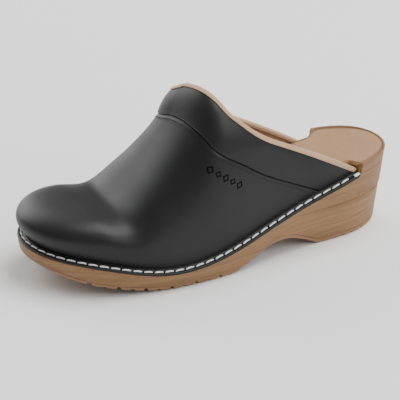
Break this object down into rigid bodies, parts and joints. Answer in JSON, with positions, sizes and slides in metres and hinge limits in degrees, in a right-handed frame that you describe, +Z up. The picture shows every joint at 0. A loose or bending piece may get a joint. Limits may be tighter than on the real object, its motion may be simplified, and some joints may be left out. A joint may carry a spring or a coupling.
{
  "type": "closed-toe open-back clog, left foot",
  "caption": "Left clog with a wooden sole, black leather vamp and padded collar, white welt stitching and a tan insole.",
  "frame": {"origin": "on the ground, centred under the bounding box", "axes": "+Z up, -X towards the toe, +X towards the heel, -Y towards the outer side of the foot"},
  "size_m": [0.2657, 0.1026, 0.1244],
  "materials": {
    "wood": "satin",
    "tread": "matte",
    "black_leather": "satin",
    "tan_leather": "matte",
    "binding_leather": "satin",
    "foam": "matte",
    "white_thread": "matte",
    "black_thread": "matte"
  },
  "bodies": {
    "root": {"wood_sole": "wood", "outsole": "tread", "footbed_cushion": "foam", "insole_cover": "tan_leather", "vamp": "black_leather", "toe_puff": "foam", "vamp_interlining": "foam", "vamp_lining": "tan_leather", "collar": "black_leather", "collar_padding": "foam", "topline_tape": "white_thread", "collar_lining": "tan_leather", "topline_binding": "binding_leather", "welt_stitches": "white_thread", "bar_tacks": "white_thread", "collar_stitches": "black_thread"}
  },
  "joints": []
}
